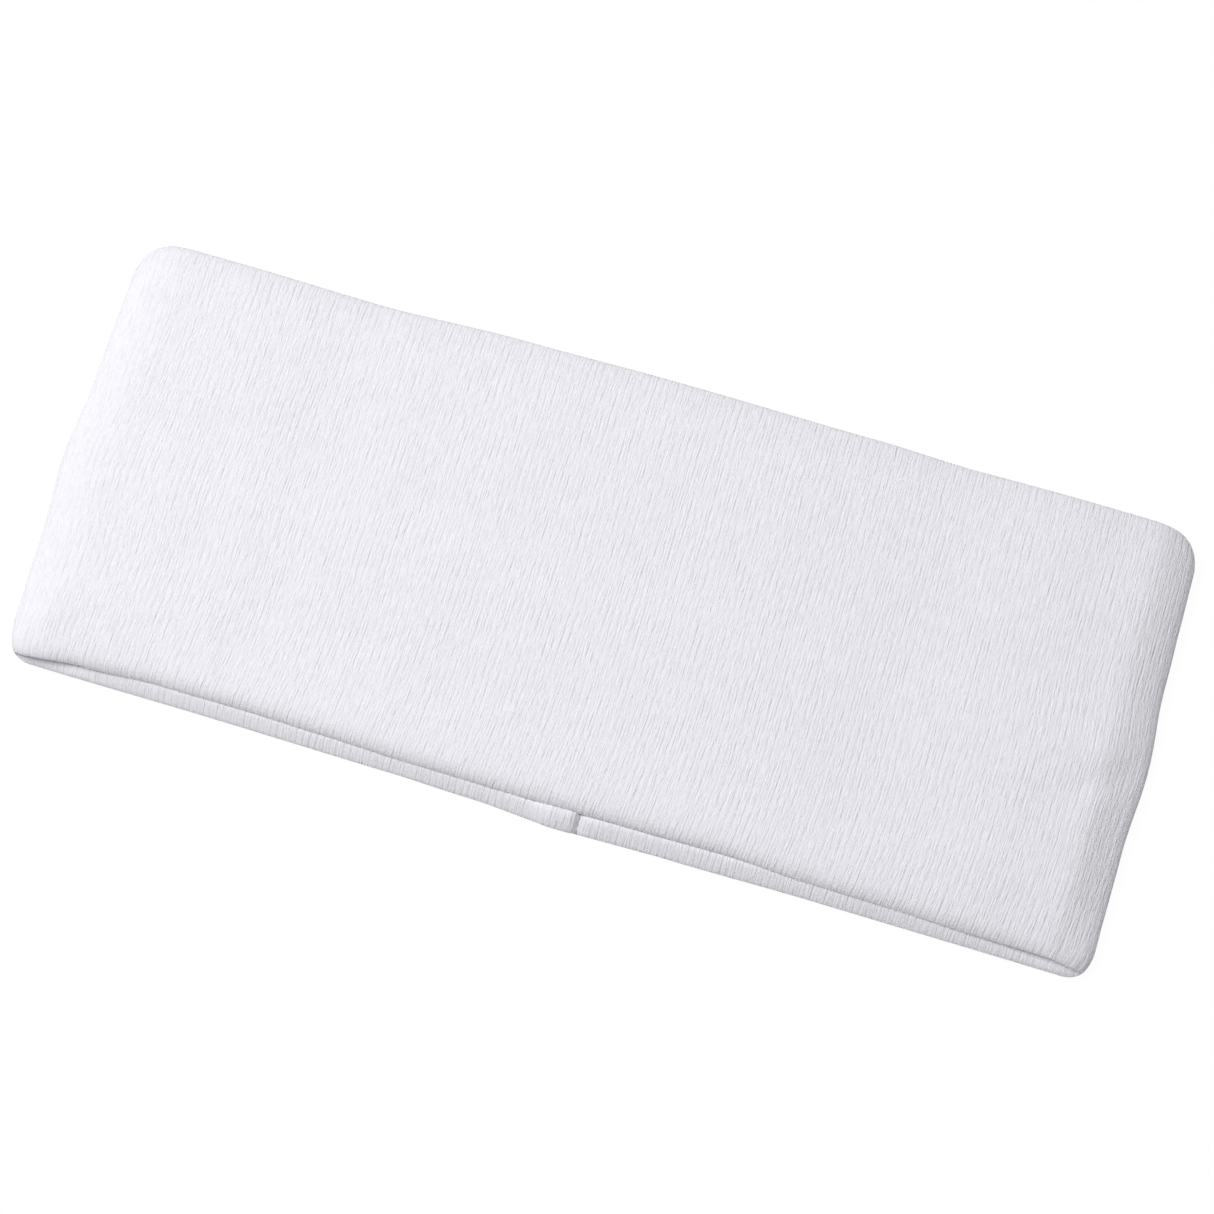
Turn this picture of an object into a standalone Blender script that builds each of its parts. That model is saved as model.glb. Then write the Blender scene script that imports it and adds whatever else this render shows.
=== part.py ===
"""A two-ply rib-knit sports headband, laid flat with its front wall up.

X runs along the flattened band, Y across it with the lower edge toward -Y, and Z is up.
Each ply is a sewn loop. The raw edges are turned in between the plies and overlocked.
"""

import math

import bmesh
import bpy
import numpy as np
from mathutils import Matrix

MM = 0.001

# The whole band, lying flat.
BAND_LENGTH = 225.0 * MM
BAND_HEIGHT = 91.0 * MM
BAND_THICKNESS = 13.0 * MM
FOLD_REACH = 7.0 * MM  # how far each side fold's half ellipse runs along X
FOLD_STEPS = 20
REAR_DROP = 2.0 * MM  # the rear wall lies this much lower than the front wall

# One wall, measured from the middle of its edge seams toward the outside of the loop.
PLY = 1.0 * MM
FACE_OUT = 2.1 * MM
SEAM_GAP = 0.25 * MM  # from the middle to each turned-in allowance
ALLOWANCE_PLY = 0.7 * MM  # the allowance is pressed thinner than the ply
ALLOWANCE = 6.5 * MM
EDGE_ROLL = 2.1 * MM  # how far below the edge the ply starts to round over
FOLD_SLOT = 1.5 * MM  # how far below the edge the slot behind the allowance ends
LINING_BACK = 0.8 * MM  # the inner ply's hidden side between the edge seams
STEP_START = 7.5 * MM  # below the edge, where the inner ply starts toward the outer ply
STEP_END = 10.0 * MM
STEP_PARTS = 4
ROLL_STEPS = 6

# Centre-back seam, on the rear wall. Each ply's two allowances make one tab.
SEAM_X = 8.8 * MM
TAB_WIDTH = 8.0 * MM
TAB_THICKNESS = 0.7 * MM
TAB_HALF_HEIGHT = 35.0 * MM
TAB_ROOT = 0.8 * MM
OUTER_TAB_Z = 1.15 * MM
INNER_TAB_Z = 2.25 * MM
BUMP_RISE = 2.05 * MM
BUMP_X = (-2.2 * MM, 0.0, 9.2 * MM, 10.8 * MM)  # rise starts, is full, starts to fall, ends
BUMP_EXTRA_X = (-1.5 * MM, -0.7 * MM, 4.6 * MM, 9.7 * MM, 10.3 * MM)

# Sewing threads.
THREAD_RADIUS = 0.15 * MM
THREAD_SIDES = 1  # bevel resolution: eight sides
NEEDLE_DEPTH = 1.3 * MM
LOOPER_DEPTH = 6.95 * MM
LOOPER_REACH = 0.72 * MM
STITCH = 3.5 * MM
THREAD_LIFT = 0.2 * MM
BACK_NEEDLE_INSET = 1.6 * MM
BACK_LOOPER_INSET = 2.3 * MM
BACK_LOOPER_OVER = 0.25 * MM
CLOSING_X = (16.0 * MM, 66.0 * MM)
CLOSING_STITCH = 2.0 * MM
CLOSING_DIP = 0.3 * MM

HALF_HEIGHT = BAND_HEIGHT / 2
PATH_X = BAND_LENGTH / 2 - FACE_OUT
PATH_RISE = BAND_THICKNESS / 2 - FACE_OUT
MID_Z = BAND_THICKNESS / 2
REAR_Z = FACE_OUT  # height of the rear wall's middle


def clear_scene():
    for old in list(bpy.data.objects):
        bpy.data.objects.remove(old, do_unlink=True)
    for old in list(bpy.data.collections):
        bpy.data.collections.remove(old)


def new_collection(name):
    made = bpy.data.collections.new(name)
    bpy.context.scene.collection.children.link(made)
    return made


def cloth_material(name, colour, roughness, sheen):
    """A plain Principled material of one colour."""
    material = bpy.data.materials.new(name)
    material.use_nodes = True
    shader = material.node_tree.nodes["Principled BSDF"]
    shader.inputs["Base Color"].default_value = (*colour, 1.0)
    shader.inputs["Roughness"].default_value = roughness
    shader.inputs["Sheen Weight"].default_value = sheen
    material.diffuse_color = (*colour, 1.0)
    return material


def loop_path(rear_stations):
    """Points (x, z) of the wall's middle, once round the loop from the rear wall's left end."""
    straight = PATH_X - FOLD_REACH
    points = [(-straight, MID_Z - PATH_RISE)]
    points += [(x, MID_Z - PATH_RISE) for x in sorted(rear_stations)]
    for step in range(FOLD_STEPS):
        angle = math.pi * (step / FOLD_STEPS - 0.5)
        across = straight + FOLD_REACH * math.cos(angle)
        points.append((across, MID_Z + PATH_RISE * math.sin(angle)))
    points.append((straight, MID_Z + PATH_RISE))
    for step in range(FOLD_STEPS):
        angle = math.pi * (step / FOLD_STEPS + 0.5)
        across = -straight + FOLD_REACH * math.cos(angle)
        points.append((across, MID_Z + PATH_RISE * math.sin(angle)))
    return points


def curve_from(name, points, cyclic):
    """A poly curve through 3-D points."""
    data = bpy.data.curves.new(name, "CURVE")
    data.dimensions = "3D"
    data.twist_mode = "MINIMUM"
    spline = data.splines.new("POLY")
    spline.points.add(len(points) - 1)
    for at, point in zip(spline.points, points):
        at.co = (*point, 1.0)
    spline.use_cyclic_u = cyclic
    curve = bpy.data.objects.new(name, data)
    bpy.context.scene.collection.objects.link(curve)
    return curve


def mesh_from(curve):
    """The welded mesh of a curve, with its faces turned outward. The curve is removed."""
    bpy.context.view_layer.update()
    graph = bpy.context.evaluated_depsgraph_get()
    mesh = bpy.data.meshes.new_from_object(curve.evaluated_get(graph))
    mesh.transform(curve.matrix_world)
    bpy.data.objects.remove(curve, do_unlink=True)
    edit = bmesh.new()
    edit.from_mesh(mesh)
    bmesh.ops.remove_doubles(edit, verts=edit.verts, dist=1e-6)
    bmesh.ops.recalc_face_normals(edit, faces=edit.faces)
    edit.to_mesh(mesh)
    edit.free()
    return mesh


def mesh_object(name, mesh, collection, material):
    mesh.name = name
    mesh.materials.clear()
    if material:
        mesh.materials.append(material)
    made = bpy.data.objects.new(name, mesh)
    collection.objects.link(made)
    return made


def lay_down(made):
    """Shears Y with height, so that the rear wall lies a little lower than the front wall."""
    shear = Matrix.Identity(4)
    shear[1][2] = REAR_DROP / BAND_THICKNESS
    shear[1][3] = -REAR_DROP / 2
    made.data.transform(shear)


def edge_half(side, lining):
    """One ply's section above mid-height, as (out, y), from its face round to its inside.

    side is 1 for the outer ply and -1 for the inner ply. lining adds the step toward the outer ply.
    """
    face_in = FACE_OUT - PLY
    drop = FACE_OUT - PLY + LINING_BACK
    step = []
    if lining:
        for part in range(STEP_PARTS):
            share = part / STEP_PARTS
            ease = share * share * (3 - 2 * share)
            y = HALF_HEIGHT - STEP_END + (STEP_END - STEP_START) * share
            step.append((drop * (1 - ease), y))
        step.append((0.0, HALF_HEIGHT - STEP_START))
    points = [(side * (FACE_OUT - shift), y) for shift, y in step]
    for part in range(ROLL_STEPS + 1):
        angle = math.pi / 2 * part / ROLL_STEPS
        out = SEAM_GAP + (FACE_OUT - SEAM_GAP) * math.cos(angle)
        points.append((side * out, HALF_HEIGHT - EDGE_ROLL * (1 - math.sin(angle))))
    pressed = SEAM_GAP + ALLOWANCE_PLY
    points.append((side * SEAM_GAP, HALF_HEIGHT - ALLOWANCE))
    points.append((side * pressed, HALF_HEIGHT - ALLOWANCE))
    points.append((side * pressed, HALF_HEIGHT - FOLD_SLOT))
    points.append((side * face_in, HALF_HEIGHT - FOLD_SLOT))
    points += [(side * (face_in - shift), y) for shift, y in reversed(step)]
    return points


def ply(name, side, rear_stations, collection, material):
    """One cloth loop: its turned-in section carried round the flattened loop."""
    upper = edge_half(side, side < 0)
    section = upper + [(out, -y) for out, y in reversed(upper)]
    # Blender lays a bevel object's X along -Y here, and its Y toward the inside of the loop.
    outline = curve_from(name + "_section", [(-y, -out, 0.0) for out, y in section], True)
    path = [(x, 0.0, z) for x, z in loop_path(rear_stations)]
    sweep = curve_from(name + "_path", path, True)
    sweep.data.bevel_mode = "OBJECT"
    sweep.data.bevel_object = outline
    mesh = mesh_from(sweep)
    bpy.data.objects.remove(outline, do_unlink=True)
    return mesh_object(name, mesh, collection, material)


def raise_over_tabs(mesh):
    """Lifts the inner ply between the edge seams, where it passes over the back seam's tabs."""
    for vertex in mesh.vertices:
        x, y, z = vertex.co
        if z > MID_Z:
            continue
        along = np.interp(x, BUMP_X, (0.0, 1.0, 1.0, 0.0))
        across = np.interp(abs(y), (HALF_HEIGHT - STEP_END, HALF_HEIGHT - STEP_START), (1.0, 0.0))
        vertex.co.z += BUMP_RISE * float(along * across)


def box(name, low, high, collection):
    """A box between two corners, for joining to a ply."""
    mesh = bpy.data.meshes.new(name)
    edit = bmesh.new()
    bmesh.ops.create_cube(edit, size=1.0)
    edit.to_mesh(mesh)
    edit.free()
    low = np.array(low)
    high = np.array(high)
    for vertex in mesh.vertices:
        vertex.co = (low + high) / 2 + np.array(vertex.co) * (high - low)
    made = mesh_object(name, mesh, collection, None)
    made.hide_render = True
    made.display_type = "WIRE"
    lay_down(made)
    return made


def join(made, helper):
    """Unites a helper box with a part through an exact Boolean."""
    union = made.modifiers.new("join_" + helper.name, "BOOLEAN")
    union.operation = "UNION"
    union.solver = "EXACT"
    union.object = helper


def thread(name, points, cyclic, collection, material):
    """A round sewing thread through 3-D points."""
    curve = curve_from(name, points, cyclic)
    curve.data.bevel_depth = THREAD_RADIUS
    curve.data.bevel_resolution = THREAD_SIDES
    curve.data.use_fill_caps = True
    made = mesh_object(name, mesh_from(curve), collection, material)
    lay_down(made)
    return made


def along_path(path, distance, out):
    """The point of a closed (x, z) path at a distance along it, moved outward by out."""
    corners = np.array(path + path[:1])
    sides = np.diff(corners, axis=0)
    lengths = np.hypot(sides[:, 0], sides[:, 1])
    ends = np.cumsum(lengths)
    distance = distance % ends[-1]
    at = int(np.searchsorted(ends, distance, side="right"))
    share = 1 - (ends[at] - distance) / lengths[at]
    heading = sides[at] / lengths[at]
    outward = np.array((heading[1], -heading[0]))
    return corners[at] + share * sides[at] + out * outward


def path_length(path):
    corners = np.array(path + path[:1])
    return float(np.hypot(*np.diff(corners, axis=0).T).sum())


def edge_seam(prefix, y_sign, gap, collection, needle_material, looper_material):
    """The overlock seam of one long edge: a needle thread and a looper thread round the loop.

    gap is None, or the rear wall's (from x, to x) that the seam leaves open.
    """
    path = loop_path(())
    total = path_length(path)
    start = 0.0
    end = total
    if gap:
        start = gap[1] - path[0][0]
        end = gap[0] - path[0][0] + total
    level = y_sign * (HALF_HEIGHT - NEEDLE_DEPTH)
    corners = [0.0]
    for first, second in zip(path, path[1:] + path[:1]):
        corners.append(corners[-1] + math.dist(first, second))
    stops = [corner for corner in corners[:-1] + [c + total for c in corners] if start < corner < end]
    if gap:
        stops = [start] + stops + [end]
    else:
        stops = corners[:-1]
    needle = []
    for stop in stops:
        x, z = along_path(path, stop, 0.0)
        needle.append((x, level, z))
    thread(prefix + "_needle_thread", needle, not gap, collection, needle_material)
    level = y_sign * (HALF_HEIGHT - LOOPER_DEPTH)
    count = 2 * int((end - start) / STITCH)
    looper = []
    for index in range(count):
        out = LOOPER_REACH if index % 2 else -LOOPER_REACH
        x, z = along_path(path, start + (end - start) * index / count, out)
        looper.append((x, level, z))
    thread(prefix + "_looper_thread", looper, not gap, collection, looper_material)


def back_seam(prefix, tab_z, collection, needle_material, looper_material):
    """The overlock seam of one ply's centre-back tab, lying on the tab's upper side."""
    level = tab_z + TAB_THICKNESS + THREAD_LIFT
    reach = TAB_HALF_HEIGHT - STITCH / 2
    count = 2 * int(2 * reach / STITCH)
    needle_x = SEAM_X - BACK_NEEDLE_INSET
    needle = [(needle_x, -reach, level), (needle_x, reach, level)]
    thread(prefix + "_needle_thread", needle, False, collection, needle_material)
    looper = []
    for index in range(count + 1):
        x = SEAM_X - BACK_LOOPER_INSET
        if index % 2:
            x = SEAM_X - TAB_WIDTH - BACK_LOOPER_OVER
        looper.append((x, -reach + 2 * reach * index / count, level))
    thread(prefix + "_looper_thread", looper, False, collection, looper_material)


clear_scene()
parts = new_collection("sports_headband")
cutters = new_collection("cutters")
cutters.hide_render = True

face_knit = cloth_material("white_rib_knit_face", (0.90, 0.90, 0.93), 0.92, 0.35)
lining_knit = cloth_material("white_rib_knit_lining", (0.84, 0.84, 0.88), 0.95, 0.25)

# Outer ply, with its two centre-back allowances folded to the left as one tab.
outer_ply = ply("outer_ply", 1, (0.0, SEAM_X), parts, face_knit)
lay_down(outer_ply)
outer_tab = box(
    "outer_tab",
    (SEAM_X - TAB_WIDTH, -TAB_HALF_HEIGHT, OUTER_TAB_Z),
    (SEAM_X, TAB_HALF_HEIGHT, OUTER_TAB_Z + TAB_THICKNESS),
    cutters,
)
outer_root = box(
    "outer_root",
    (SEAM_X - TAB_ROOT, -TAB_HALF_HEIGHT, PLY / 2),
    (SEAM_X, TAB_HALF_HEIGHT, OUTER_TAB_Z + TAB_THICKNESS / 2),
    cutters,
)
join(outer_ply, outer_tab)
join(outer_ply, outer_root)

# Inner ply, raised over the tabs, with its own tab between it and the outer ply's tab.
inner_ply = ply("inner_ply", -1, sorted(BUMP_X + BUMP_EXTRA_X), parts, lining_knit)
raise_over_tabs(inner_ply.data)
lay_down(inner_ply)
inner_tab = box(
    "inner_tab",
    (SEAM_X - TAB_WIDTH, -TAB_HALF_HEIGHT, INNER_TAB_Z),
    (BUMP_X[2] + TAB_ROOT, TAB_HALF_HEIGHT, INNER_TAB_Z + TAB_THICKNESS),
    cutters,
)
join(inner_ply, inner_tab)

# The threads of the seams that join the plies along both long edges.
needle_thread = cloth_material("needle_thread", (0.93, 0.93, 0.95), 0.55, 0.1)
looper_thread = cloth_material("looper_thread", (0.80, 0.81, 0.86), 0.65, 0.1)
edge_seam("bottom_edge", -1, None, parts, needle_thread, looper_thread)
edge_seam("top_edge", 1, CLOSING_X, parts, needle_thread, looper_thread)

# The threads of each ply's own centre-back seam.
back_seam("outer_back_seam", OUTER_TAB_Z, parts, needle_thread, looper_thread)
back_seam("inner_back_seam", INNER_TAB_Z, parts, needle_thread, looper_thread)

# The closing stitches, in the top edge's seam line where that seam was left open for turning.
closing = []
stitches = round((CLOSING_X[1] - CLOSING_X[0]) / CLOSING_STITCH)
for index in range(2 * stitches + 1):
    x = CLOSING_X[0] + CLOSING_STITCH / 2 * index
    dip = CLOSING_DIP if index % 2 else -CLOSING_DIP
    closing.append((x, HALF_HEIGHT - THREAD_RADIUS + dip, REAR_Z))
thread("closing_stitches", closing, False, parts, needle_thread)
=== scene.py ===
import math

import bpy
import numpy as np
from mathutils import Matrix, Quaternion, Vector


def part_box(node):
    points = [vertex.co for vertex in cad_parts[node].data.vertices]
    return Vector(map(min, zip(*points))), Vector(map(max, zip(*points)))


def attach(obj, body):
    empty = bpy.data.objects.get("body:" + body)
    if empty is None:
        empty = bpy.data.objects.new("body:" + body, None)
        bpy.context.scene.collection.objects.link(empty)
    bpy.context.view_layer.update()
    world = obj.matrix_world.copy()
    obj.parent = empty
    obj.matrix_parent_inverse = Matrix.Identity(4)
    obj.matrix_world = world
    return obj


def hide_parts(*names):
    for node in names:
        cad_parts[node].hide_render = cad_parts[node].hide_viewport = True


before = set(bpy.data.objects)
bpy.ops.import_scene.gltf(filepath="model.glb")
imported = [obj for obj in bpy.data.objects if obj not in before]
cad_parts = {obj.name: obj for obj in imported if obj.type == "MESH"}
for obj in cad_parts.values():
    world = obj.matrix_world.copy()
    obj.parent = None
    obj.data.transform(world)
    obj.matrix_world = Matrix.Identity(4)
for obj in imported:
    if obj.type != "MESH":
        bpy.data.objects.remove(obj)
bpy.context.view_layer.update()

MM = 0.001


# Outer ply: the cloth loop that makes the band's face. It is a fine one-by-one rib knit of
# white cotton and elastane. Its long edges roll in to the edge seams, and its two short ends
# turn in at the centre back and lie to the left.
band_low, band_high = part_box("outer_ply")
END_X = (band_high[0] - band_low[0]) / 2 - 0.8 * MM
WALL = 3.6 * MM
FOLD_LOW = (3.2 * MM, 1.4 * MM)
FOLD_HIGH = (10.0 * MM, 3.9 * MM)
FOLD_RISE = FOLD_LOW[1] + FOLD_HIGH[1]
FOLD_SQUEEZE = 0.65
HALF_HEIGHT = 44.5 * MM
FACE = WALL / 2
SEAM_X = 9.2 * MM
EDGE_ROLL = 3.2 * MM
SEAM_LIP = 0.06 * MM
ALLOWANCE = 6.5 * MM
ALLOWANCE_OUT = 0.2 * MM
BACK_ALLOWANCE = 8.0 * MM
RIB_PITCH = 1.39 * MM
RIB_HEIGHT = 0.07 * MM
COURSE_PITCH = 1.05 * MM
RIB_PROFILE = np.array((-0.6, 0.2, 0.5, 0.2))
FLAT_ROWS = 40
ROLL_ROWS = 11

# How far the soft walls stray from a plain flat loop. A reach is a distance from the middle along
# the band, where something starts and ends. Offsets along X are (x, offset) stops in millimetres.
FRONT_SAG = 1.4 * MM
EDGE_SAG = 1.4 * MM
EDGE_DROOP = (1.25 * MM, 3.0 * MM)
EDGE_PRESS = 0.9
EDGE_PUFF = 1.05 * MM
REAR_UPPER = -1.7 * MM
REAR_LOWER = (
    (-100, -1.5), (-70, -1.35), (-30, -1.5), (-13, -1.8), (4, -2.6), (30, -2.1), (56, -1.75), (98, -1.7),
)
FRONT_LOWER = (
    (-106, -0.3), (-95, 0.7), (-78, 1.5), (-60, 1.6), (-45, 1.4), (-28, 1.1),
    (-4, 1.0), (22, 1.3), (38, 1.6), (54, 1.0), (72, 0.9), (88, 0.6), (106, 0.5),
)
FRONT_UPPER = ((-106, 0.3), (-62, 0.3), (-30, 1.4), (2, 1.8), (44, 1.5), (66, 0.95), (106, 0.7))
LOWER_CORNER = (5.0 * MM, 3.0 * MM)
LEFT_UPPER_CORNER = (8.0 * MM, 5.2 * MM)
RIGHT_UPPER_CORNER = (6.2 * MM, 4.0 * MM)
LEFT_END = ((-44, -1.2), (-36, -0.4), (-22, 0.2), (-3, 1.6), (12, 0.9), (40, 0.8))
RIGHT_END = ((-40, 0.1), (-20, 0.25), (-3.2, 1.2), (13, 0.2), (40, 0.0))
END_REACH = 70 * MM
SETTLED_REACH = (90 * MM, 107 * MM)
PUFF_REACH = (84 * MM, 102 * MM)
PUFF_RISE = 3.5 * MM
PUFF_FALL = (3.6 * MM, 5.7 * MM)
SIDE_REACH = (58 * MM, 90 * MM)
LEFT_LIP_REACH = 99 * MM
RIGHT_LIP_REACH = 104 * MM
LIP_LIMIT = 111 * MM
LIP_DEPTH = (2 * MM, 15 * MM)
CORNER_DEPTH = 24 * MM
CORNER_FULLNESS = 0.97

# Swells of the side folds as (height, middle, width), the right end's drop, and the front wall's
# dents as (depth, start, end, width), all in millimetres.
FOLD_SWELLS = ((-0.40, 8, 7), (0.22, -4, 6), (-0.25, -26, 9))
END_DROP = 1.6
END_DROP_EASE = 0.7
END_DROP_TURN = (-16 * MM, 6 * MM)
END_DROP_REACH = (END_X - 9 * MM, END_X - 1 * MM)
DENTS = ((0.75, (112, -4), (92, -15), 2.6), (0.35, (-84, 10), (-76, -40), 7.0))


def smooth(value, start, end):
    """0 before start, 1 after end, eased between."""
    share = np.clip((value - start) / (end - start), 0.0, 1.0)
    return share * share * (3 - 2 * share)


def eased(x, stops):
    """A value along X, in metres, eased between (x, value) stops given in millimetres."""
    total = np.full(np.shape(x), stops[0][1] * MM)
    for (from_x, first), (to_x, second) in zip(stops, stops[1:]):
        total = total + (second - first) * MM * smooth(x, from_x * MM, to_x * MM)
    return total


def loop_path():
    """The wall's middle once round, from the centre-back seam along the rear wall to the right.

    Each side fold is a tight quarter turn up from the rear wall, then a long easy one into the
    front wall. It returns distance, x, z and heading, at close steps.
    """
    turn = np.linspace(0.0, math.pi / 2, 400)
    end = END_X - FACE
    low = FACE
    high = low + FOLD_RISE
    fold_x = np.concatenate((
        end - FOLD_LOW[0] * (1 - np.sin(turn)),
        end - FOLD_HIGH[0] * (1 - np.cos(turn)),
    ))
    fold_z = np.concatenate((
        low + FOLD_LOW[1] * (1 - np.cos(turn)),
        low + FOLD_LOW[1] + FOLD_HIGH[1] * np.sin(turn),
    ))
    fold_heading = np.concatenate((
        np.arctan2(FOLD_LOW[1] * np.sin(turn), FOLD_LOW[0] * np.cos(turn)),
        np.arctan2(FOLD_HIGH[1] * np.cos(turn), -FOLD_HIGH[0] * np.sin(turn)),
    ))
    level = np.ones(400)
    rear = end - FOLD_LOW[0]
    front = end - FOLD_HIGH[0]
    stretches = (
        (np.linspace(SEAM_X, rear, 400), low * level, 0 * level),
        (fold_x, fold_z, fold_heading),
        (np.linspace(front, -front, 400), high * level, math.pi * level),
        (-fold_x[::-1], fold_z[::-1], 2 * math.pi - fold_heading[::-1]),
        (np.linspace(-rear, SEAM_X, 400), low * level, 2 * math.pi * level),
    )
    px, pz, heading = (np.concatenate(part) for part in zip(*stretches))
    distance = np.concatenate(((0.0,), np.cumsum(np.hypot(np.diff(px), np.diff(pz)))))
    return distance, px, pz, heading


PATH_S, PATH_X, PATH_Z, PATH_HEADING = loop_path()
GIRTH = PATH_S[-1]
RIBS = round(GIRTH / RIB_PITCH)
chance = np.random.default_rng(7)


def waves(x, y, lengths, count):
    """Smooth seeded unevenness over the cloth, about -1 to 1, with features of the given lengths."""
    total = np.zeros(np.broadcast(x, y).shape)
    for _ in range(count):
        angle = chance.uniform(0, math.pi)
        length = chance.uniform(*lengths)
        phase = chance.uniform(0, 2 * math.pi)
        along = x * math.cos(angle) + y * math.sin(angle)
        total += np.sin(2 * math.pi * along / length + phase)
    return total / math.sqrt(count)


def groove(x, y, start, end, width):
    """1 on the line from start to end (millimetres), fading out sideways and towards its end."""
    run = Vector(end) - Vector(start)
    along = ((x / MM - start[0]) * run.x + (y / MM - start[1]) * run.y) / run.length_squared
    off = ((x / MM - start[0]) * run.y - (y / MM - start[1]) * run.x) / run.length
    fade = smooth(along, -0.25, 0.1) * (1 - smooth(along, 0.35, 1.1))
    return np.exp(-((off / width) ** 2)) * fade


def place(s, y, out):
    """Where the soft band holds a point: s round the loop, y across it, out from the wall's middle."""
    px = np.interp(s, PATH_S, PATH_X)
    pz = np.interp(s, PATH_S, PATH_Z)
    heading = np.interp(s, PATH_S, PATH_HEADING)
    front = np.clip((pz - FACE) / FOLD_RISE, 0.0, 1.0)
    from_edge = y + HALF_HEIGHT
    settled = (1 - smooth(np.abs(px), *SETTLED_REACH)) * front
    near_edge = 1 - np.sqrt(1 - np.clip(1 - from_edge / EDGE_DROOP[1], 0.0, 1.0) ** 2)
    squeeze = (1 - EDGE_PRESS * settled * near_edge) * (1 - FOLD_SQUEEZE * np.abs(np.sin(heading)))
    ahead = smooth(from_edge, 0.0, PUFF_RISE) * (1 - smooth(from_edge, *PUFF_FALL))
    puff = EDGE_PUFF * ahead * (1 - front) * (1 - smooth(np.abs(px), *PUFF_REACH))
    out = np.where(out < 0, out * squeeze - puff, out)
    x = px + out * np.sin(heading)
    z = pz - out * np.cos(heading) - EDGE_DROOP[0] * settled * near_edge
    reach = np.abs(x)
    up = np.clip(0.5 + y / (2 * HALF_HEIGHT), 0.0, 1.0)
    lower = eased(x, REAR_LOWER) * (1 - front) + eased(x, FRONT_LOWER) * front
    upper = REAR_UPPER * (1 - front) + eased(x, FRONT_UPPER) * front
    corners = [LOWER_CORNER, LEFT_UPPER_CORNER, RIGHT_UPPER_CORNER]
    which = np.where(y < 0, 0, np.where(x < 0, 1, 2))
    along_corner, deep_corner = np.moveaxis(np.array(corners)[which], -1, 0)
    turned = np.clip(1 - (END_X - reach) / along_corner, 0.0, 1.0)
    cut = deep_corner * (1 - np.sqrt(1 - CORNER_FULLNESS * turned**2))
    held = np.sign(y) * cut * smooth(np.abs(y), HALF_HEIGHT - CORNER_DEPTH, HALF_HEIGHT)
    lying_y = y + lower * (1 - up) + upper * up - held
    sag = FRONT_SAG * (1 - smooth(reach, *SIDE_REACH))
    lip_end = np.where(x < 0, LEFT_LIP_REACH, RIGHT_LIP_REACH)
    lip = smooth(reach, *SIDE_REACH) * (1 - smooth(reach, lip_end, LIP_LIMIT))
    sag = sag + EDGE_SAG * lip * (1 - smooth(from_edge, *LIP_DEPTH))
    beyond = np.where(x < 0, -eased(lying_y, LEFT_END), eased(lying_y, RIGHT_END))
    x = x + beyond * smooth(reach, END_REACH, END_X)
    along_fold = sum(
        height * np.exp(-(((lying_y / MM - middle) / width) ** 2)) for height, middle, width in FOLD_SWELLS
    )
    end_drop = END_DROP - END_DROP_EASE * smooth(lying_y, *END_DROP_TURN)
    end_drop = end_drop * smooth(x, *END_DROP_REACH)
    dent = sum(depth * groove(x, lying_y, start, end, width) for depth, start, end, width in DENTS)
    z = z + front * ((along_fold - end_drop - dent) * MM - sag)
    return x, lying_y, z


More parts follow.
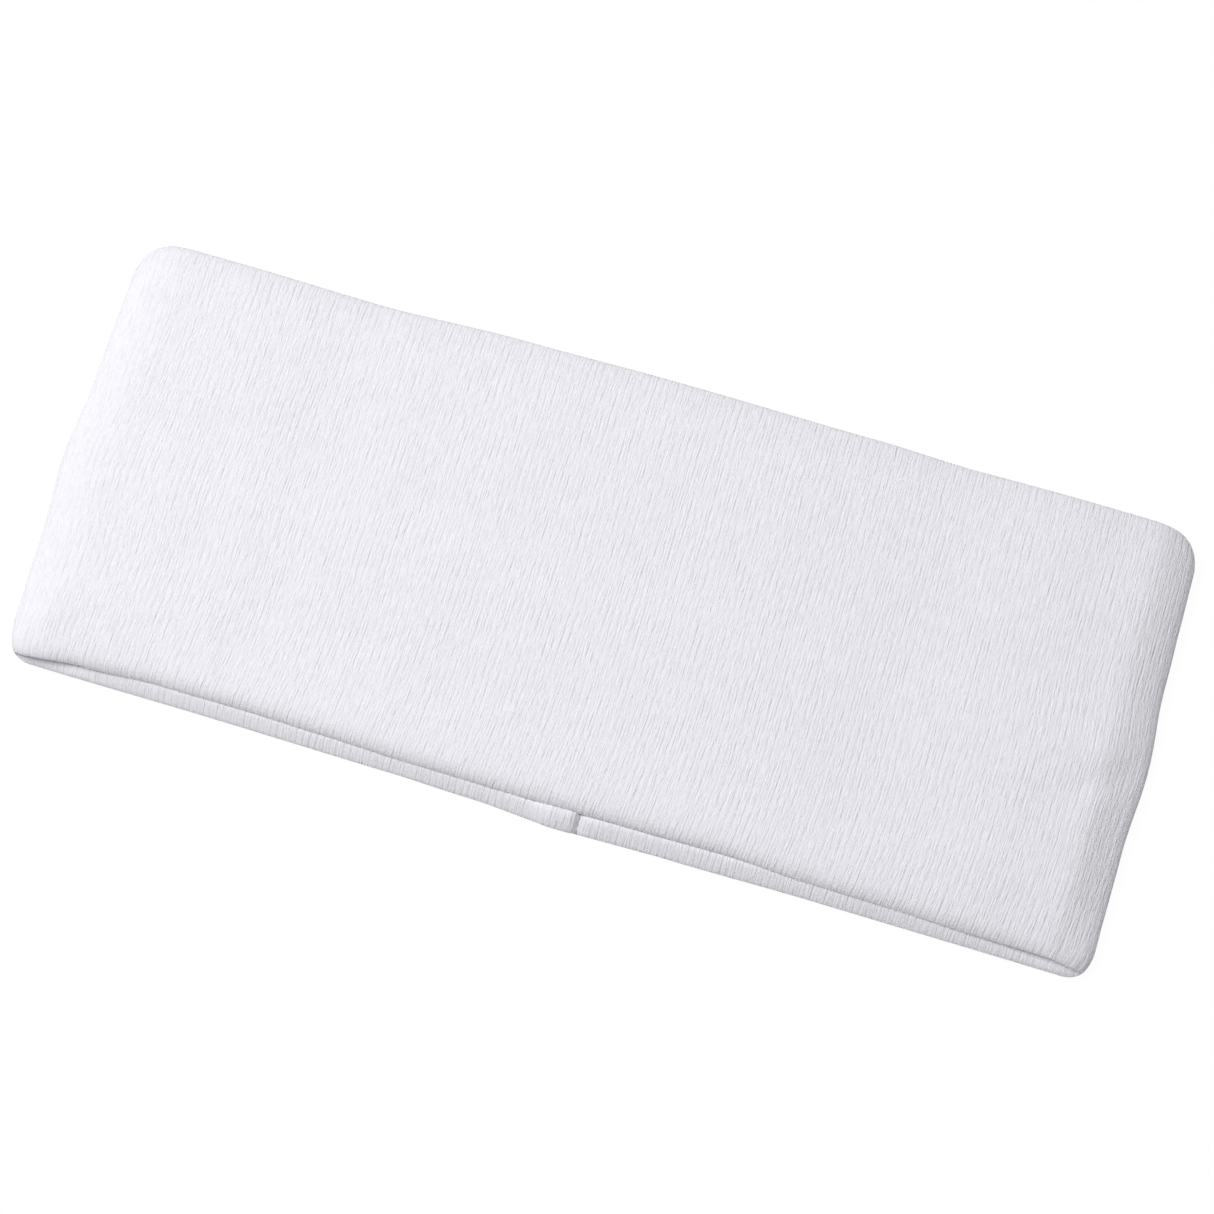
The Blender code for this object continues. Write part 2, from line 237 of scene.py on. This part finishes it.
def knit_ply(name, side, middle_drop, lift):
    """One ply as a ribbed skin round the loop, with stitch coordinates for its material.

    side is 1 for the outer ply and -1 for the inner ply. middle_drop is how far the ply sinks
    toward the other one between the edge seams. lift(s, y) raises it off its usual place.
    """
    rolled = np.linspace(math.pi / 2, 0.0, ROLL_ROWS)
    edge_out = np.concatenate(((ALLOWANCE_OUT,) * 3, SEAM_LIP + (FACE - SEAM_LIP) * np.cos(rolled)))
    turned_in = (ALLOWANCE, ALLOWANCE / 2, 0.8 * MM)
    edge_y = np.concatenate((turned_in, EDGE_ROLL * (1 - np.sin(rolled)))) - HALF_HEIGHT
    flat = np.linspace(EDGE_ROLL - HALF_HEIGHT, HALF_HEIGHT - EDGE_ROLL, FLAT_ROWS)[1:-1]
    wall_out = np.concatenate((edge_out, np.full(len(flat), FACE), edge_out[::-1]))[:, None]
    y = np.concatenate((edge_y, flat, -edge_y[::-1]))[:, None]
    sunk = smooth(HALF_HEIGHT - np.abs(y), 6.5 * MM, 12.0 * MM) * middle_drop
    out = side * (wall_out - sunk)
    shown = np.concatenate(((0.0,) * 3, np.cos(rolled) ** 0.5, np.ones(len(flat))))
    shown = np.concatenate((shown, shown[ROLL_ROWS + 2::-1]))[:, None]
    rolling = 1 - smooth(HALF_HEIGHT - np.abs(y), 2.5 * MM, 6.5 * MM)

    per_rib = len(RIB_PROFILE)
    rib = (np.arange(RIBS * per_rib + 1) / per_rib)[None, :]
    s = rib / RIBS * GIRTH
    from_seam = np.minimum(s, GIRTH - s)
    front = smooth(np.interp(s, PATH_S, PATH_Z), FACE + 0.3 * FOLD_RISE, FACE + 0.7 * FOLD_RISE)
    wander = 0.15 * MM * waves(s / MM, 0.3 * y / MM, (9, 30), 9)
    lean = 1.5 * MM * np.clip((-y - 18 * MM) / (27 * MM), 0.0, 1.0) ** 2 * front
    at = s + (wander + lean) * smooth(from_seam, 0.0, 6 * MM)
    base = np.stack(place(at, y, out + 0 * at), axis=-1)
    # The normal points out of the wall: away from the loop's inside for the outer ply, into it
    # for the inner ply.
    normal = np.cross(np.gradient(base, axis=0), np.gradient(base, axis=1)) * side
    normal /= np.linalg.norm(normal, axis=-1, keepdims=True)
    profile = np.resize(RIB_PROFILE, rib.size)[None, :]
    strength = np.clip(0.65 + 0.55 * waves(s / MM, 0.35 * y / MM, (2.5, 8), 16), 0.1, 1.4)
    height = RIB_HEIGHT * (1 - 0.2 * rolling) * profile * strength + lift(s, y)
    skin = base + normal * (shown * height)[..., None]
    skin[..., 2] = np.maximum(skin[..., 2], 0.0)

    # Each short end carries on as its allowance, which lies inside the wall to the seam's left.
    seam_left = np.array((0.0, 0.0, 0.35, 0.7, 1.0)) * BACK_ALLOWANCE
    raised = side * BACK_LIFT[name] * over_allowances(GIRTH - seam_left[None, :]) * wall_out / FACE
    tabs = []
    for depth in (1.0 * MM, 0.8 * MM):
        tab_out = out + raised - side * depth * wall_out / FACE
        tabs.append(np.stack(place(GIRTH - seam_left[None, :], y, tab_out + 0 * seam_left[None, :]), axis=-1))
    skin = np.concatenate((tabs[0][:, :0:-1], skin, tabs[1][:, 1:]), axis=1)
    rib = np.concatenate((-seam_left[:0:-1] / RIB_PITCH, rib[0], RIBS + seam_left[1:] / RIB_PITCH))

    rows, columns = skin.shape[:2]
    grid = np.arange(rows * columns).reshape(rows, columns)
    faces = np.stack((grid[:-1, :-1], grid[:-1, 1:], grid[1:, 1:], grid[1:, :-1]), axis=-1).reshape(-1, 4)
    if side > 0:
        faces = faces[:, ::-1]
    mesh = bpy.data.meshes.new(name)
    mesh.vertices.add(rows * columns)
    mesh.vertices.foreach_set("co", skin.reshape(-1).astype(np.float32))
    mesh.loops.add(faces.size)
    mesh.loops.foreach_set("vertex_index", faces.reshape(-1).astype(np.int32))
    mesh.polygons.add(len(faces))
    mesh.polygons.foreach_set("loop_start", np.arange(0, faces.size, 4, dtype=np.int32))
    mesh.update(calc_edges=True)
    mesh.shade_smooth()
    steps = np.hypot(np.diff(wall_out[:, 0]), np.diff(y[:, 0]))
    stitch = np.zeros((rows, columns, 3), np.float32)
    stitch[..., 0] = rib[None, :]
    stitch[..., 1] = (np.concatenate(((0.0,), np.cumsum(steps))) / COURSE_PITCH)[:, None]
    stitch[..., 2] = rolling
    made = mesh.attributes.new("stitch", "FLOAT_VECTOR", "POINT")
    made.data.foreach_set("vector", stitch.reshape(-1))
    piece = bpy.data.objects.new(name, mesh)
    bpy.context.scene.collection.objects.link(piece)
    return piece


BACK_LIFT = {"outer_ply_knit": 0.0, "inner_ply_knit": 0.65 * MM}
BUMP_WIDTH = 8.4 * MM


def seam_crease(s, depth, width):
    return -depth * np.exp(-((np.minimum(s, GIRTH - s) / width) ** 2))


def over_allowances(s):
    """1 over the allowances left of the centre-back seam, falling off at both sides."""
    left = GIRTH - s
    return smooth(left, 0.0, 1.3 * MM) * (1 - smooth(left, BUMP_WIDTH - 3.0 * MM, BUMP_WIDTH + 2.2 * MM))


def outer_lift(s, y):
    at_edge = smooth(np.abs(y), HALF_HEIGHT - 5 * MM, HALF_HEIGHT - 1 * MM)
    return seam_crease(s, 0.25 * MM, 0.8 * MM) + 0.2 * MM * over_allowances(s) * at_edge


def knit_material(name, colour):
    """Rib knit: soft broken grooves between ribs, fainter ones up their middles, and cotton fuzz; the grooves
    and the rolled edges are also painted darker as painted shade.
    """
    material = bpy.data.materials.new(name)
    material.use_nodes = True
    nodes = material.node_tree.nodes
    link = material.node_tree.links.new
    shader = nodes["Principled BSDF"]

    def calc(kind, *values):
        node = nodes.new("ShaderNodeMath")
        node.operation = kind
        for index, value in enumerate(values):
            if isinstance(value, (int, float)):
                node.inputs[index].default_value = value
            else:
                link(value, node.inputs[index])
        return node.outputs[0]

    def noise(vector, scale, detail):
        node = nodes.new("ShaderNodeTexNoise")
        node.inputs["Scale"].default_value = scale
        node.inputs["Detail"].default_value = detail
        node.inputs["Roughness"].default_value = 0.6
        link(vector, node.inputs["Vector"])
        return node.outputs["Fac"]

    stitch = nodes.new("ShaderNodeAttribute")
    stitch.attribute_name = "stitch"
    split = nodes.new("ShaderNodeSeparateXYZ")
    link(stitch.outputs["Vector"], split.inputs[0])
    on_cloth = nodes.new("ShaderNodeTexCoord").outputs["Object"]

    def along_rib(stretch, shift, scale, detail):
        """Noise in stitch units, drawn out along the ribs."""
        drawn = nodes.new("ShaderNodeVectorMath")
        drawn.operation = "MULTIPLY_ADD"
        drawn.inputs[1].default_value = (1.0, stretch, 0.0)
        drawn.inputs[2].default_value = (shift, shift, 0.0)
        link(stitch.outputs["Vector"], drawn.inputs[0])
        return noise(drawn.outputs[0], scale, detail)

    rolling = split.outputs[2]
    fuzz = noise(on_cloth, 5200, 2)
    strands = noise(on_cloth, 1900, 2)
    mottle = noise(on_cloth, 260, 3)
    # Ribs waver a little, and each groove shows in short stretches only.
    waver = calc("MULTIPLY_ADD", along_rib(0.15, 3.0, 0.9, 2), 0.24, -0.12)
    rib = calc("ADD", split.outputs[0], waver)
    round_rib = calc("COSINE", calc("MULTIPLY", rib, 2 * math.pi))
    between = calc("POWER", calc("MULTIPLY_ADD", round_rib, 0.5, 0.5), 2.5)
    middle = calc("POWER", calc("MULTIPLY_ADD", round_rib, -0.5, 0.5), 4.0)
    shows = calc("MAXIMUM", calc("MULTIPLY_ADD", along_rib(0.10, 0.0, 1.7, 3), 2.6, -0.75), 0.3)
    shows_middle = calc("MAXIMUM", calc("MULTIPLY_ADD", along_rib(0.10, 40.0, 1.9, 3), 2.6, -0.75), 0.3)
    shows = calc("MULTIPLY_ADD", rolling, 0.2, shows)
    fibres = calc("SUBTRACT", along_rib(0.08, 80.0, 4.4, 3), 0.5)
    deep = calc("MULTIPLY", between, shows)
    shallow = calc("MULTIPLY", middle, shows_middle)
    side_of = calc("ABSOLUTE", calc("SINE", calc("MULTIPLY", rib, 2 * math.pi)))
    turn = calc("MULTIPLY_ADD", side_of, -0.35, split.outputs[1])
    turn = calc("ADD", turn, calc("MULTIPLY_ADD", strands, 0.8, -0.4))
    loop = calc("COSINE", calc("MULTIPLY", turn, 2 * math.pi))
    relief = calc("MULTIPLY", deep, -0.75)
    relief = calc("MULTIPLY_ADD", shallow, -0.6, relief)
    relief = calc("MULTIPLY_ADD", loop, 0.06, relief)
    relief = calc("MULTIPLY_ADD", strands, 0.9, relief)
    relief = calc("MULTIPLY_ADD", fibres, 2.8, relief)
    relief = calc("MULTIPLY_ADD", fuzz, 0.6, relief)
    raised = nodes.new("ShaderNodeBump")
    raised.inputs["Strength"].default_value = 1.0
    raised.inputs["Distance"].default_value = 0.1 * MM
    link(relief, raised.inputs["Height"])
    link(raised.outputs["Normal"], shader.inputs["Normal"])

    # Colour: painted shade darkens the grooves between ribs and, less, the fainter ones up the rib middles;
    # fibres, mottle and strands vary the tone at random.
    painted_shade_and_tone = calc("MULTIPLY_ADD", deep, -0.055, 1.0)
    painted_shade_and_tone = calc("MULTIPLY_ADD", fibres, 0.22, painted_shade_and_tone)
    # Painted shade: the cloth is a little darker where its long edges roll under.
    painted_shade_and_tone = calc("MULTIPLY_ADD", rolling, -0.02, painted_shade_and_tone)
    painted_shade_and_tone = calc("MULTIPLY_ADD", shallow, -0.03, painted_shade_and_tone)
    painted_shade_and_tone = calc("ADD", painted_shade_and_tone, calc("MULTIPLY_ADD", mottle, 0.05, -0.025))
    painted_shade_and_tone = calc("ADD", painted_shade_and_tone, calc("MULTIPLY_ADD", strands, 0.10, -0.05))
    grey = nodes.new("ShaderNodeCombineColor")
    for index in range(3):
        link(painted_shade_and_tone, grey.inputs[index])
    tint = nodes.new("ShaderNodeMix")
    tint.data_type = "RGBA"
    tint.blend_type = "MULTIPLY"
    tint.inputs["Factor"].default_value = 1.0
    tint.inputs["A"].default_value = (*colour, 1.0)
    link(grey.outputs[0], tint.inputs["B"])
    link(tint.outputs["Result"], shader.inputs["Base Color"])
    shader.inputs["Roughness"].default_value = 0.95
    shader.inputs["Specular IOR Level"].default_value = 0.12
    shader.inputs["Sheen Weight"].default_value = 0.08
    shader.inputs["Sheen Roughness"].default_value = 0.6
    return material


outer_knit = knit_ply("outer_ply_knit", 1, 0.0, outer_lift)
outer_knit.data.materials.append(knit_material("white_rib_knit_face", (0.865, 0.86, 0.905)))
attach(outer_knit, "root")
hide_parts("outer_ply")


# Inner ply: the lining loop, of the same rib knit, seen on the inside of the loop. At the centre
# back it rises over the seam allowances, which are laid to the left, and dives into the seam.
LINING_DROP = 1.9 * MM


def inner_lift(s, y):
    return seam_crease(s, 0.55 * MM, 0.95 * MM) + BACK_LIFT["inner_ply_knit"] * over_allowances(s) + 0 * y


inner_knit = knit_ply("inner_ply_knit", -1, LINING_DROP, inner_lift)
inner_knit.data.materials.append(knit_material("white_rib_knit_lining", (0.865, 0.86, 0.905)))
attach(inner_knit, "root")
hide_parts("inner_ply")


# Edge seams: overlock seams in spun polyester thread that join the two plies along both long
# edges. The needle thread runs just inside the edge, and the looper thread wraps the allowances.
THREAD_RADIUS = 0.15 * MM
NEEDLE_DEPTH = 1.3 * MM
LOOPER_DEPTH = 6.9 * MM
LOOPER_OUT = 0.36 * MM
STITCH = 3.5 * MM
CLOSING_START = 16.0 * MM
CLOSING_LENGTH = 50.0 * MM


def thread_material(name, colour, roughness):
    """Spun thread: fine slanting plies with a little fuzz, painted darker between the plies as painted shade.
    """
    material = bpy.data.materials.new(name)
    material.use_nodes = True
    nodes = material.node_tree.nodes
    link = material.node_tree.links.new
    shader = nodes["Principled BSDF"]
    twist = nodes.new("ShaderNodeTexWave")
    twist.bands_direction = "DIAGONAL"
    twist.inputs["Scale"].default_value = 1400
    twist.inputs["Distortion"].default_value = 1.5
    link(nodes.new("ShaderNodeTexCoord").outputs["Object"], twist.inputs["Vector"])
    # Painted shade: the colour falls to 0.82 of the thread's colour in the low bands between the twisted
    # plies.
    shades = nodes.new("ShaderNodeValToRGB")
    shades.color_ramp.elements[0].color = (*(0.82 * part for part in colour), 1)
    shades.color_ramp.elements[1].color = (*colour, 1)
    link(twist.outputs["Fac"], shades.inputs["Fac"])
    link(shades.outputs["Color"], shader.inputs["Base Color"])
    raised = nodes.new("ShaderNodeBump")
    raised.inputs["Distance"].default_value = 0.04 * MM
    link(twist.outputs["Fac"], raised.inputs["Height"])
    link(raised.outputs["Normal"], shader.inputs["Normal"])
    shader.inputs["Roughness"].default_value = roughness
    return material


needle_thread = thread_material("needle_thread", (0.93, 0.93, 0.95), 0.55)
looper_thread = thread_material("looper_thread", (0.80, 0.81, 0.86), 0.65)


def thread(name, node, points, closed, material):
    """A round thread through (s, y, out) points, standing for a CAD thread."""
    curve = bpy.data.curves.new(name, "CURVE")
    curve.dimensions = "3D"
    curve.bevel_depth = THREAD_RADIUS
    curve.bevel_resolution = 1
    curve.use_fill_caps = True
    line = curve.splines.new("POLY")
    line.points.add(len(points) - 1)
    spots = np.stack(place(*np.array(points).T) + (np.ones(len(points)),), axis=1)
    line.points.foreach_set("co", spots.reshape(-1).astype(np.float32))
    line.use_cyclic_u = closed
    curve.materials.append(material)
    piece = bpy.data.objects.new(name, curve)
    bpy.context.scene.collection.objects.link(piece)
    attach(piece, "root")
    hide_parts(node)


def edge_seam(prefix, up, start, end, closed):
    """Needle and looper thread of one long edge, from start to end round the loop."""
    line = up * (HALF_HEIGHT - NEEDLE_DEPTH)
    raw = up * (HALF_HEIGHT - LOOPER_DEPTH)
    needle = [(s, line, 0.0) for s in np.linspace(start, end, 400, endpoint=not closed)]
    node = prefix + "_needle_thread"
    thread(node + "_laid", node, needle, closed, needle_thread)
    stitches = round((end - start) / STITCH)
    looper = []
    for index in range(stitches):
        s = start + (end - start) * index / stitches
        step = (end - start) / stitches / 4
        looper += [(s, line, LOOPER_OUT), (s + step, raw, 0.0)]
        looper += [(s + 2 * step, line, -LOOPER_OUT), (s + 3 * step, raw, 0.0)]
    node = prefix + "_looper_thread"
    thread(node + "_laid", node, looper, closed, looper_thread)


opening_start = CLOSING_START - SEAM_X
opening_end = opening_start + CLOSING_LENGTH
edge_seam("bottom_edge", -1, 0.0, GIRTH, True)
edge_seam("top_edge", 1, opening_end, opening_start + GIRTH - 2 * THREAD_RADIUS, False)


# Centre-back seams: the overlock seam that closes each ply into its loop, hidden between the
# plies. Its threads lie on the two allowances, just left of the seam.
BACK_NEEDLE = 1.6 * MM
BACK_RAW = 8.2 * MM
BACK_REACH = 36.0 * MM
BACK_OUT = {"outer": 0.75 * MM, "inner": -0.15 * MM}


def back_seam(ply, out):
    """Needle and looper thread of one ply's centre-back seam, up the allowances."""
    node = ply + "_back_seam_needle_thread"
    rise = np.linspace(-BACK_REACH, BACK_REACH, 42)
    needle = [(GIRTH - BACK_NEEDLE, y, out) for y in rise]
    thread(node + "_laid", node, needle, False, needle_thread)
    node = ply + "_back_seam_looper_thread"
    looper = []
    for index, y in enumerate(rise):
        left = BACK_RAW if index % 2 else BACK_NEEDLE + 3 * THREAD_RADIUS
        looper.append((GIRTH - left, y, out))
    thread(node + "_laid", node, looper, False, looper_thread)


for ply, out in BACK_OUT.items():
    back_seam(ply, out)


# Closing stitches: small hand-fed ladder stitches that close the gap in the top edge's seam
# through which the band was turned right side out.
CLOSING_STITCH = 2.0 * MM
CLOSING_DIP = 0.3 * MM
ladder = []
for index in range(2 * round(CLOSING_LENGTH / CLOSING_STITCH) + 1):
    dip = CLOSING_DIP if index % 2 else -CLOSING_DIP
    ladder.append((opening_start + index * CLOSING_STITCH / 2, HALF_HEIGHT - THREAD_RADIUS + dip, 0.0))
thread("closing_stitches_laid", "closing_stitches", ladder, False, needle_thread)


# Table: a wide pale seamless sheet that glows a little, so the white band stands on white.
FLOOR = 6.0
floor_mesh = bpy.data.meshes.new("floor")
floor_mesh.from_pydata(
    [(-FLOOR, -FLOOR, 0), (FLOOR, -FLOOR, 0), (FLOOR, FLOOR, 0), (-FLOOR, FLOOR, 0)], [], [(0, 1, 2, 3)]
)
floor = bpy.data.objects.new("floor", floor_mesh)
bpy.context.scene.collection.objects.link(floor)
floor_paint = bpy.data.materials.new("floor_paint")
floor_paint.use_nodes = True
floor_shader = floor_paint.node_tree.nodes["Principled BSDF"]
floor_shader.inputs["Base Color"].default_value = (0.05, 0.05, 0.05, 1)
floor_shader.inputs["Roughness"].default_value = 1.0
floor_shader.inputs["Specular IOR Level"].default_value = 0.0
floor_shader.inputs["Emission Color"].default_value = (1, 1, 1, 1)
floor_shader.inputs["Emission Strength"].default_value = 0.955
floor_mesh.materials.append(floor_paint)


# Light: a soft lamp close by, up to the left, and a pale room that is darker to the right and a
# little brighter behind.
LAMP_PLACE = Vector((-0.32, 0.03, 0.84))
lamp = bpy.data.lights.new("key_lamp", "AREA")
lamp.shape = "DISK"
lamp.size = 0.5
lamp.energy = 7.25
lamp_holder = bpy.data.objects.new("key_lamp", lamp)
lamp_holder.location = LAMP_PLACE
lamp_holder.rotation_euler = LAMP_PLACE.to_track_quat("Z", "Y").to_euler()
bpy.context.scene.collection.objects.link(lamp_holder)
ROOM_LIGHT = 0.28
ROOM_BEHIND = 0.10
ROOM_SHADE = -0.21
world = bpy.data.worlds.new("room")
world.use_nodes = True
room = world.node_tree.nodes
room_link = world.node_tree.links.new
direction = room.new("ShaderNodeSeparateXYZ")
room_link(room.new("ShaderNodeTexCoord").outputs["Generated"], direction.inputs[0])


def room_step(kind, value, factor, added=None):
    """One step of the room's brightness, as a math node fed by another node's output."""
    node = room.new("ShaderNodeMath")
    node.operation = kind
    room_link(value, node.inputs[0])
    node.inputs[1].default_value = factor
    if isinstance(added, float):
        node.inputs[2].default_value = added
    elif added is not None:
        room_link(added, node.inputs[2])
    return node.outputs[0]


toward_right = room_step("MAXIMUM", direction.outputs[0], 0.0)
level = room_step("MULTIPLY_ADD", direction.outputs[1], ROOM_BEHIND, ROOM_LIGHT)
level = room_step("MULTIPLY_ADD", toward_right, ROOM_SHADE, level)
level = room_step("MAXIMUM", level, 0.0)
room_link(level, room["Background"].inputs["Strength"])
room["Background"].inputs["Color"].default_value = (0.985, 0.985, 1.02, 1)
bpy.context.scene.world = world
bpy.context.scene.view_settings.view_transform = "Standard"


# Camera: above the band, a little toward its lower edge and its right end.
VIEW_AZIMUTH = math.radians(23.6)
VIEW_ELEVATION = math.radians(77.1)
VIEW_DISTANCE = 0.499
VIEW_ROLL = math.radians(-6.76)
VIEW_AIM = Vector((0.0015, -0.0012, 0.0))
LENS_TO_SENSOR = 2485 / 1214
toward = Vector((
    math.sin(VIEW_AZIMUTH) * math.cos(VIEW_ELEVATION),
    -math.cos(VIEW_AZIMUTH) * math.cos(VIEW_ELEVATION),
    math.sin(VIEW_ELEVATION),
))
eye = bpy.data.cameras.new("camera")
eye.sensor_width = 36.0
eye.lens = 36.0 * LENS_TO_SENSOR
eye.clip_start = 0.01
camera = bpy.data.objects.new("camera", eye)
camera.location = VIEW_AIM + toward * VIEW_DISTANCE
camera.rotation_mode = "QUATERNION"
camera.rotation_quaternion = toward.to_track_quat("Z", "Y") @ Quaternion((0, 0, 1), VIEW_ROLL)
bpy.context.scene.collection.objects.link(camera)
bpy.context.scene.camera = camera
